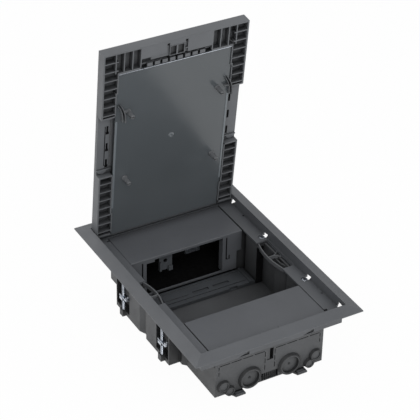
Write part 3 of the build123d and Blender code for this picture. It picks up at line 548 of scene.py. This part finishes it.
def makePlateTrim():
    values = plateTrim
    x, along = values["dimplePlace"]
    depth = lidPose["plateFace"] + values["dimpleHeight"] / 2 - sunk
    nothingSelected()
    bpy.ops.mesh.primitive_cylinder_add(vertices=values["dimpleSides"], radius=values["dimpleRadius"],
                                        depth=values["dimpleHeight"], location=closedPlace(x, along, depth))
    dimple = begin("plateDimple")
    selectFaces(dimple, facesDown)
    bpy.ops.transform.resize(value=(values["dimpleTaper"], values["dimpleTaper"], 1))
    bpy.ops.mesh.inset(thickness=values["dimpleRim"])
    bpy.ops.transform.translate(value=(0, 0, values["dimpleSink"]))
    bpy.ops.object.mode_set(mode="OBJECT")
    applyAll(dimple)
    smoothSelected(50)
    openWithLid(dimple)
    # lighter coat on the dimple: painted highlight
    finishPiece(dimple, dimpleHighlight, "lid")
    depth = lidPose["plateFace"] + values["edgeRise"]
    nothingSelected()
    bpy.ops.mesh.primitive_cube_add(size=1, location=closedPlace(0, values["edgeAlong"], depth),
                                    scale=(2 * values["edgeHalf"], values["edgeThick"],
                                           values["edgeDepth"]))
    # bright zinc strip along the fold: painted highlight
    edge = applyAll(roundedOff("plateEdgeHighlight", facesDown, values["edgeBevel"], 3))
    openWithLid(edge)
    finishPiece(edge, zinc, "lid")


makePlateTrim()
print("plate trim made")


# Near-black sheets in the flap slots, with wider ends and a long groove on the left flap: painted shade.
flapSlot = {"x": 0.074, "alongs": (0.0970, 0.1185, 0.1410), "width": 0.00236, "length": 0.01036,
            "depth": 0.0036, "thick": 0.00016, "rim": 0.0003}
flapGroove = {"x": -0.0767, "along": 0.1200, "width": 0.0009, "length": 0.0520, "depth": 0.00503}
slotEndShade = {"width": 0.0036, "length": 0.0030, "shift": 0.0040}


def modelShadeSheet(name, width, length, thick):
    nothingSelected()
    bpy.ops.mesh.primitive_cube_add(size=1, scale=(width, length, thick))
    shadeSheet = begin(name)
    selectFaces(shadeSheet, facesDown)
    bpy.ops.mesh.inset(thickness=min(width, flapSlot["rim"] * 3) / 3)
    bpy.ops.transform.translate(value=(0, 0, thick / 3))
    bpy.ops.object.mode_set(mode="OBJECT")
    return applyAll(shadeSheet)


def makeSlotShadeSheets():
    values = flapSlot
    first = modelShadeSheet("slotShadeSheet", values["width"], values["length"], values["thick"])
    for side, sign in (("left", -1), ("right", 1)):
        for number, along in enumerate(values["alongs"], 1):
            place = closedPlace(sign * values["x"], along, values["depth"])
            shadeSheet = copied(first, "slotShadeSheet_" + side + "_" + str(number), *place)
            openWithLid(shadeSheet)
            finishPiece(shadeSheet, paintedShadeBlack, "flap_" + side)
    bpy.data.objects.remove(first)
    end = modelShadeSheet("slotEndShade", slotEndShade["width"], slotEndShade["length"], values["thick"])
    for number, along in enumerate(values["alongs"], 1):
        place = closedPlace(-values["x"], along - slotEndShade["shift"], flapGroove["depth"])
        shadeSheet = copied(end, "slotEndShade_" + str(number), *place)
        openWithLid(shadeSheet)
        finishPiece(shadeSheet, paintedShadeBlack, "flap_left")
    bpy.data.objects.remove(end)
    line = modelShadeSheet("flapGroove", flapGroove["width"], flapGroove["length"], values["thick"])
    groove = copied(line, "flapGroove_left", *closedPlace(flapGroove["x"], flapGroove["along"],
                                                          flapGroove["depth"]))
    bpy.data.objects.remove(line)
    openWithLid(groove)
    finishPiece(groove, paintedShadeBlack, "flap_left")


makeSlotShadeSheets()
print("slot linings made")


# Bowed double fins beside the upper pegs; both bow the same way. Places are x and distance from the hinge.
arcClip = {"centre": (-0.0952, 0.1560), "radius": 0.0368, "alongs": (0.1532, 0.1758), "height": 0.0060,
           "thick": 0.0007, "sides": 240, "edgeBevel": 0.00015, "innerStep": 0.0024, "innerHeight": 0.0042,
           "shift": 0.1285, "armLength": 0.0060, "armAlong": 0.1655, "armHeight": 0.0040,
           "armThick": 0.0011, "armBevel": 0.0004, "arms": {"left": -0.0578, "right": 0.0638}}


def modelFin(radius, height):
    values = arcClip
    x, along = values["centre"]
    nothingSelected()
    bpy.ops.mesh.primitive_cylinder_add(vertices=values["sides"], radius=radius, depth=height,
                                        end_fill_type="NOTHING",
                                        location=closedPlace(x, along, lidPose["plateFace"] + height / 2))
    fin = applyAll(begin("clipFin"))
    low, high = (lidPose["hingeY"] - a for a in values["alongs"])
    selectFaces(fin, lambda centre, normal: centre.x < x or not high < centre.y < low)
    bpy.ops.mesh.delete(type="FACE")
    bpy.ops.object.mode_set(mode="OBJECT")
    addWall(fin, values["thick"], -1)
    soften = fin.modifiers.new("soften", "BEVEL")
    soften.width = values["edgeBevel"]
    soften.segments = 2
    return applyAll(fin)


def makeArcClips():
    values = arcClip
    fins = joined(modelFin(values["radius"], values["height"]),
                  modelFin(values["radius"] - values["innerStep"], values["innerHeight"]))
    depth = lidPose["plateFace"] + values["armHeight"] / 2
    nothingSelected()
    bpy.ops.mesh.primitive_cube_add(size=1, location=closedPlace(0, values["armAlong"], depth),
                                    scale=(values["armLength"], values["armThick"], values["armHeight"]))
    arm = applyAll(roundedOff("clipArm", facesDown, values["armBevel"], 3))
    for side, shift in (("left", 0), ("right", values["shift"])):
        clip = joined(copied(fins, "arcClip_" + side, shift, 0, 0),
                      copied(arm, "clipArm_" + side, values["arms"][side], 0, 0))
        applyAll(clip)
        smoothSelected()
        openWithLid(clip)
        finishPiece(clip, plasticOf["guide"], "lid")
        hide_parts("arc_clip_" + side)
    bpy.data.objects.remove(fins)
    bpy.data.objects.remove(arm)


makeArcClips()
print("arc clips made")


# Sliding latch: a flat bar with a raised grip that holds two deep finger pockets.
latch = {"half": 0.030, "alongs": (0.2220, 0.2346), "barDepths": (0.0093, 0.0104), "gripHalf": 0.0090,
         "gripDeep": 0.0121, "pocketX": 0.0045, "pocketWidth": 0.0071, "pocketLength": 0.0106,
         "pocketDeep": 0.0099, "slope": 6.0, "cutFrom": 0.0126, "bevel": 0.0002}


def latchBlock(name, half, depths):
    low, high = latch["alongs"]
    nothingSelected()
    bpy.ops.mesh.primitive_cube_add(size=1, location=closedPlace(0, (low + high) / 2, sum(depths) / 2),
                                    scale=(2 * half, high - low, depths[1] - depths[0]))
    return applyAll(roundedOff(name, facesDown, latch["bevel"], 2))


def makeLatch():
    values = latch
    along = sum(values["alongs"]) / 2
    grip = latchBlock("latchGrip", values["gripHalf"], (values["barDepths"][1] - sunk, values["gripDeep"]))
    cutters = []
    for side in (-1, 1):
        nothingSelected()
        bpy.ops.mesh.primitive_cube_add(size=1, location=closedPlace(side * values["pocketX"], along,
                                                                     values["cutFrom"]),
                                        scale=(values["pocketWidth"], values["pocketLength"],
                                               2 * (values["cutFrom"] - values["pocketDeep"])))
        cutter = begin("pocketCutter")
        selectFaces(cutter, facesUp)
        bpy.ops.transform.rotate(value=math.radians(values["slope"]), orient_axis="Y",
                                 center_override=cutter.location)
        bpy.ops.object.mode_set(mode="OBJECT")
        cutters.append(cutter)
    bar = latchBlock("latchBar", values["half"], values["barDepths"])
    cutAway([grip, bar], cutters)
    slider = joined(bar, grip)
    slider.name = "latchSlider"
    applyAll(slider)
    rim = lidPose["top"] - values["gripDeep"] + sunk
    middle = closedPlace(0, along, 0)[1]
    reachX, reachY = values["pocketWidth"] / 2 + sunk, values["pocketLength"] / 2 + sunk
    inPocket = [face.index for face in slider.data.polygons
                if face.center.z > rim and abs(face.center.y - middle) < reachY
                and abs(abs(face.center.x) - values["pocketX"]) < reachX]
    openWithLid(slider)
    finishPiece(slider, plasticOf["lid"], "latch")
    # faces inside the finger pockets take the near-black pocket plastic: painted shade
    slider.data.materials.append(plasticOf["pocket"])
    for index in inPocket:
        slider.data.polygons[index].material_index = 1
    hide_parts("latch_slider")


makeLatch()
print("latch made")


# Folded rims along the plate's long sides, in a lighter copy of the plate coat: painted highlight.
sideFold = {"x": 0.0670, "width": 0.0024, "height": 0.0007, "alongs": (0.0360, 0.1530), "bevel": 0.0003}


def makeSideFolds():
    values = sideFold
    low, high = values["alongs"]
    depth = lidPose["plateFace"] + values["height"] / 2 - sunk
    nothingSelected()
    bpy.ops.mesh.primitive_cube_add(size=1, location=closedPlace(0, (low + high) / 2, depth),
                                    scale=(values["width"], high - low, values["height"]))
    first = applyAll(roundedOff("plateSideFold", facesDown, values["bevel"], 3))
    for side, sign in (("left", -1), ("right", 1)):
        fold = copied(first, "plateSideFold_" + side, sign * values["x"], 0, 0)
        openWithLid(fold)
        finishPiece(fold, foldHighlight, "lid")
    bpy.data.objects.remove(first)


makeSideFolds()
print("plate folds made")


# Knock-outs in the front wall: raised collars with near-black sloping flanks as painted shade, and a dark
# mark in the big ones.
knockouts = {"face": -0.118, "collarWidth": 0.0012, "collarRise": 0.0009, "markRadius": 0.0013,
             "bigPlace": (0.024, 0.0156), "bigRadius": 0.0122, "bigHeight": 0.0030, "bigWall": 0.0019,
             "twins": ((0.0558, 0.0164, 0.0062, 0.0020), (0.0483, 0.0080, 0.0052, 0.0024)),
             "flankFlare": 0.0014, "twinFlare": 0.0009, "flankRim": 0.0010, "twinRim": 0.0004,
             "liningThick": 0.00008, "liningGap": 0.00005, "wellGap": 0.00004, "wellRim": 0.0007,
             "collarRim": 0.0009, "bossRise": 0.0002, "markHeight": 0.0006, "markRise": 0.0005,
             "markRim": 0.0006, "markDeep": 0.0003, "sides": 64, "collarSides": 44, "markSides": 28}


def roundPiece(name, radius, height, outer, sides, tip=None):  # stands out from the wall, axis along Y
    nothingSelected()
    bpy.ops.mesh.primitive_cone_add(vertices=sides, radius1=radius, radius2=tip or radius, depth=height,
                                    location=(0, outer + height / 2, 0), rotation=(math.radians(90), 0, 0))
    return applyAll(begin(name))


def modelFlank(radius, height, flare, rim):
    values = knockouts
    outer = values["face"] - height - sunk
    flank = roundPiece("knockoutFlank", radius + flare, height + sunk, outer, values["sides"],
                       radius + values["liningGap"])
    selectFaces(flank, facesFront)
    bpy.ops.mesh.inset(thickness=rim)
    bpy.ops.mesh.delete(type="FACE")
    selectFaces(flank, facesBack)
    bpy.ops.mesh.delete(type="FACE")
    bpy.ops.object.mode_set(mode="OBJECT")
    addWall(flank, values["liningThick"], 1)
    applyAll(flank)
    smoothSelected()
    return flank


def modelCollar(radius, height):
    values = knockouts
    collar = roundPiece("knockoutCollar", radius, values["collarRise"] + values["bossRise"],
                        values["face"] - height - values["collarRise"], values["collarSides"])
    selectFaces(collar, facesFront)
    bpy.ops.mesh.inset(thickness=values["collarWidth"])
    bpy.ops.mesh.extrude_region_move(TRANSFORM_OT_translate={"value": (0, values["collarRise"], 0)})
    bpy.ops.mesh.inset(thickness=values["collarRim"])
    bpy.ops.transform.translate(value=(0, -values["bossRise"], 0))
    bpy.ops.object.mode_set(mode="OBJECT")
    applyAll(collar)
    smoothSelected()
    return collar


def modelMark():
    values = knockouts
    mark = roundPiece("knockoutMark", values["markRadius"], values["markHeight"],
                      values["face"] - values["markRise"], values["markSides"])
    selectFaces(mark, facesFront)
    bpy.ops.mesh.inset(thickness=values["markRim"])
    bpy.ops.mesh.extrude_region_move(TRANSFORM_OT_translate={"value": (0, values["markDeep"], 0)})
    bpy.ops.object.mode_set(mode="OBJECT")
    applyAll(mark)
    smoothSelected()
    return mark


def modelInnerWall():  # inside of a big collar, near-black as painted shade
    values = knockouts
    radius = values["bigRadius"] - values["bigWall"] - values["wellGap"]
    well = roundPiece("knockoutWell", radius, values["bigHeight"], values["face"] - values["bigHeight"],
                      values["sides"])
    selectFaces(well, facesFront)
    bpy.ops.mesh.delete(type="FACE")
    selectFaces(well, facesBack)
    bpy.ops.mesh.inset(thickness=values["wellRim"])
    bpy.ops.mesh.delete(type="FACE")
    bpy.ops.object.mode_set(mode="OBJECT")
    addWall(well, values["liningThick"], -1)
    applyAll(well)
    smoothSelected()
    return well


def pairAcross(first, name, x, z, material):
    for side, sign in (("left", -1), ("right", 1)):
        piece = copied(first, name + "_" + side, sign * x, 0, z)
        finishPiece(piece, material, "box")
    bpy.data.objects.remove(first)


def makeKnockouts():
    values = knockouts
    # near-black plastic for the flanks and the inside of the big collars: painted shade; it also colours
    # the marks
    dark = plasticOf["groove"]
    x, z = values["bigPlace"]
    flank = modelFlank(values["bigRadius"], values["bigHeight"], values["flankFlare"], values["flankRim"])
    pairAcross(flank, "knockoutFlank", x, z, dark)
    pairAcross(modelInnerWall(), "knockoutWell", x, z, dark)
    pairAcross(modelMark(), "knockoutMark", x, z, dark)
    for number, (x, z, radius, height) in enumerate(values["twins"], 1):
        pairAcross(modelCollar(radius, height), "twinCollar" + str(number), x, z, plasticOf["body"])
        flank = modelFlank(radius, height + values["collarRise"], values["twinFlare"], values["twinRim"])
        pairAcross(flank, "twinFlank" + str(number), x, z, dark)


makeKnockouts()
print("knock-outs dressed")


# Caps on the two front feet, each with a long slot.
footCap = {"x": 0.0375, "shift": 0.0006, "y": -0.1208, "top": 0.0020, "size": (0.0106, 0.0046, 0.0007),
           "bevel": 0.0002, "wall": 0.0010, "slotDeep": 0.0005}


def makeFootCaps():
    values = footCap
    nothingSelected()
    bpy.ops.mesh.primitive_cube_add(size=1, location=(values["shift"], values["y"],
                                                      values["top"] + values["size"][2] / 2),
                                    scale=values["size"])
    first = applyAll(roundedOff("footCap", facesUp, values["bevel"], 2))
    selectFaces(first, facesUp)
    bpy.ops.mesh.inset(thickness=values["wall"])
    bpy.ops.mesh.extrude_region_move(TRANSFORM_OT_translate={"value": (0, 0, -values["slotDeep"])})
    bpy.ops.object.mode_set(mode="OBJECT")
    for side, sign in (("left", -1), ("right", 1)):
        cap = copied(first, "footCap_" + side, sign * values["x"], 0, 0)
        finishPiece(cap, plasticOf["frame"], "box")
    bpy.data.objects.remove(first)


makeFootCaps()
print("foot caps made")


# Near-black sheets inside the wiring compartments, open at the top and towards the bay: painted shade.
compartmentShade = {"half": 0.0632, "near": 0.0615, "far": {"back": 0.1160, "front": 0.1090}, "low": 0.0073,
         "high": 0.0500, "thick": 0.0004}


def makeCompartmentShades():
    values = compartmentShade
    for end, sign in (("back", 1), ("front", -1)):
        far = values["far"][end]
        nothingSelected()
        bpy.ops.mesh.primitive_cube_add(size=1, location=(0, sign * (values["near"] + far) / 2,
                                                          (values["low"] + values["high"]) / 2),
                                        scale=(2 * values["half"], far - values["near"],
                                               values["high"] - values["low"]))
        tray = begin("compartmentShadeSheet_" + end)
        applyAll(tray)
        selectFaces(tray, lambda centre, normal: normal.z > facing or normal.y * sign < -facing)
        bpy.ops.mesh.delete(type="FACE")
        bpy.ops.object.mode_set(mode="OBJECT")
        addWall(tray, values["thick"], -1)
        applyAll(tray)
        finishPiece(tray, paintedShadeBlack, "box")


makeCompartmentShades()
print("compartment liners made")


# Strips along the outer side of the cable exits, and a near-black sheet on the step beside the right exit:
# painted shadow.
exitSill = {"x": 0.0833, "width": 0.0017, "low": 0.0593, "high": 0.0622, "bevel": 0.0003,
            "spans": {"left": (-0.0193, 0.0249), "right": (-0.0249, 0.0291)}}
stepShadeSheet = {"xs": (0.0711, 0.0797), "y": 0.02905, "zs": (0.0073, 0.0560), "thick": 0.0002, "rim": 0.0005}


def makeExitStrips():
    values = exitSill
    for side, sign in (("left", -1), ("right", 1)):
        low, high = values["spans"][side]
        nothingSelected()
        bpy.ops.mesh.primitive_cube_add(size=1, location=(sign * values["x"], (low + high) / 2,
                                                          (values["low"] + values["high"]) / 2),
                                        scale=(values["width"], high - low, values["high"] - values["low"]))
        sill = applyAll(roundedOff("exitSill_" + side, facesUp, values["bevel"], 2))
        finishPiece(sill, plasticOf["inner"], "box")
    nothingSelected()
    (x0, x1), (z0, z1) = stepShadeSheet["xs"], stepShadeSheet["zs"]
    bpy.ops.mesh.primitive_cube_add(size=1, location=((x0 + x1) / 2, stepShadeSheet["y"], (z0 + z1) / 2),
                                    scale=(x1 - x0, stepShadeSheet["thick"], z1 - z0))
    step = begin("stepShadeSheet")
    applyAll(step)
    selectFaces(step, facesFront)
    bpy.ops.mesh.inset(thickness=stepShadeSheet["rim"])
    bpy.ops.transform.translate(value=(0, stepShadeSheet["thick"] / 3, 0))
    bpy.ops.object.mode_set(mode="OBJECT")
    finishPiece(step, paintedShadeBlack, "box")


makeExitStrips()
print("exit strips made")


# Small drain holes in the ledge, each a near-black disc: painted shade.
drains = {"x": 0.0847, "y": 0.0824, "radius": 0.0011, "height": 0.0001, "rim": 0.0002, "sink": 0.00006,
          "sides": 28, "open": 0.0607, "closed": 0.06252}


def makeDrains():
    nothingSelected()
    bpy.ops.mesh.primitive_cylinder_add(vertices=drains["sides"], radius=drains["radius"],
                                        depth=drains["height"])
    first = begin("drainShadeDisc")
    selectFaces(first, facesUp)
    bpy.ops.mesh.inset(thickness=drains["rim"])
    bpy.ops.transform.translate(value=(0, 0, -drains["sink"]))
    bpy.ops.object.mode_set(mode="OBJECT")
    for number, (sideX, sideY) in enumerate(((1, -1), (-1, 1), (1, 1), (-1, -1)), 1):
        level = drains["open"] if sideX != sideY else drains["closed"]
        drain = copied(first, "drainShadeDisc_" + str(number), sideX * drains["x"], sideY * drains["y"], level)
        finishPiece(drain, paintedShadeBlack, "box")
    bpy.data.objects.remove(first)


makeDrains()
print("drain holes made")


# Thin ring faces under the claw nuts.
clawNut = {"radius": 0.0029, "height": 0.0002, "bore": 0.0021, "sides": 32}


def makeNutFaces():
    nothingSelected()
    bpy.ops.mesh.primitive_cylinder_add(vertices=clawNut["sides"], radius=clawNut["radius"],
                                        depth=clawNut["height"],
                                        location=(0, 0, -clawNut["height"] / 2))
    first = begin("nutFace")
    selectFaces(first, lambda centre, normal: abs(normal.z) > facing)
    bpy.ops.mesh.inset(thickness=clawNut["radius"] - clawNut["bore"])
    bpy.ops.mesh.bridge_edge_loops()
    bpy.ops.object.mode_set(mode="OBJECT")
    applyAll(first)
    mergeDoubles(first)
    smoothSelected()
    for corner in corners:
        low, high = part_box("claw_nut_" + corner)
        ring = copied(first, "nutFace_" + corner, (low.x + high.x) / 2, (low.y + high.y) / 2, low.z)
        finishPiece(ring, zinc, "nut_" + corner)
    bpy.data.objects.remove(first)


makeNutFaces()
print("nut faces made")


# Floor, light and camera.
studio = {"floorSize": 6.0, "floorDrop": 0.0002, "floorColour": (0.93, 0.93, 0.93), "floorRoughness": 0.9,
          "floorGlow": 0.965, "worldStrength": 0.66, "aim": (0, 0, 0.1)}


def makeFloor():
    bpy.ops.mesh.primitive_plane_add(size=studio["floorSize"],
                                     location=(0, 0, cadLow.z - studio["floorDrop"]))
    floor = bpy.context.object
    floor.name = "studioFloor"
    material, tree, shader, _ = startMaterial("paleFloor")
    shader.inputs["Base Color"].default_value = (*studio["floorColour"], 1)
    shader.inputs["Roughness"].default_value = studio["floorRoughness"]
    # Camera and glossy rays see it nearly as bright as the background.
    glow = tree.nodes.new("ShaderNodeEmission")
    glow.inputs["Strength"].default_value = 1.0
    paths = tree.nodes.new("ShaderNodeLightPath")
    seen = tree.nodes.new("ShaderNodeMath")
    seen.operation = "MAXIMUM"
    tree.links.new(paths.outputs["Is Camera Ray"], seen.inputs[0])
    tree.links.new(paths.outputs["Is Glossy Ray"], seen.inputs[1])
    partly = tree.nodes.new("ShaderNodeMath")
    partly.operation = "MULTIPLY"
    partly.inputs[1].default_value = studio["floorGlow"]
    tree.links.new(seen.outputs[0], partly.inputs[0])
    mix = tree.nodes.new("ShaderNodeMixShader")
    tree.links.new(partly.outputs[0], mix.inputs["Fac"])
    tree.links.new(shader.outputs["BSDF"], mix.inputs[1])
    tree.links.new(glow.outputs["Emission"], mix.inputs[2])
    out = [n for n in tree.nodes if n.type == "OUTPUT_MATERIAL"][0]
    tree.links.new(mix.outputs["Shader"], out.inputs["Surface"])
    floor.data.materials.append(material)


def makeWorld():
    world = bpy.data.worlds.new("studioWorld")
    scene.world = world
    world.use_nodes = True
    tree = world.node_tree
    tree.nodes.clear()
    out = tree.nodes.new("ShaderNodeOutputWorld")
    soft = tree.nodes.new("ShaderNodeBackground")
    soft.inputs["Strength"].default_value = studio["worldStrength"]
    white = tree.nodes.new("ShaderNodeBackground")
    white.inputs["Color"].default_value = (1, 1, 1, 1)
    white.inputs["Strength"].default_value = 1.0
    paths = tree.nodes.new("ShaderNodeLightPath")
    mix = tree.nodes.new("ShaderNodeMixShader")
    tree.links.new(paths.outputs["Is Camera Ray"], mix.inputs["Fac"])
    tree.links.new(soft.outputs["Background"], mix.inputs[1])
    tree.links.new(white.outputs["Background"], mix.inputs[2])
    tree.links.new(mix.outputs["Shader"], out.inputs["Surface"])


lamps = {  # place, size, power in watts
    "keyLamp": {"place": (-0.5, -1.25, 1.2), "size": 1.1, "power": 11.5},
    "fillLamp": {"place": (1.2, -0.8, 1.0), "size": 1.2, "power": 1.8},
    "backLamp": {"place": (-0.2, 1.3, 1.5), "size": 1.2, "power": 6.5},
}


def makeLamps():
    target = Vector(studio["aim"])
    for name, lamp in lamps.items():
        data = bpy.data.lights.new(name, "AREA")
        data.size = lamp["size"]
        data.energy = lamp["power"]
        made = bpy.data.objects.new(name, data)
        made.location = lamp["place"]
        made.rotation_euler = (target - made.location).to_track_quat("-Z", "Y").to_euler()
        scene.collection.objects.link(made)


# Camera fitted to the photograph; its focal length is given in pixels.
view = {"azimuth": -30.256, "elevation": 33.976, "roll": 1.293, "pixels": 1732.43, "imageWidth": 420,
        "sensor": 36.0, "clip": (0.05, 30), "place": (-0.76285, -1.29578, 1.15932)}


def makeCamera():
    azimuth, elevation, roll = (math.radians(view[k]) for k in ("azimuth", "elevation", "roll"))
    back = Vector((math.sin(azimuth) * math.cos(elevation), -math.cos(azimuth) * math.cos(elevation),
                   math.sin(elevation)))
    level = Vector((0, 0, 1)).cross(back).normalized()
    upright = back.cross(level)
    right = level * math.cos(roll) + upright * math.sin(roll)
    up = upright * math.cos(roll) - level * math.sin(roll)
    data = bpy.data.cameras.new("photoCamera")
    data.sensor_width = view["sensor"]
    data.lens = view["pixels"] / view["imageWidth"] * data.sensor_width
    data.clip_start, data.clip_end = view["clip"]
    camera = bpy.data.objects.new("photoCamera", data)
    turn = Matrix((right, up, back)).transposed().to_4x4()
    camera.matrix_world = Matrix.Translation(view["place"]) @ turn
    scene.collection.objects.link(camera)
    scene.camera = camera


makeFloor()
makeWorld()
makeLamps()
makeCamera()
scene.view_settings.view_transform = "Standard"
print("studio set")
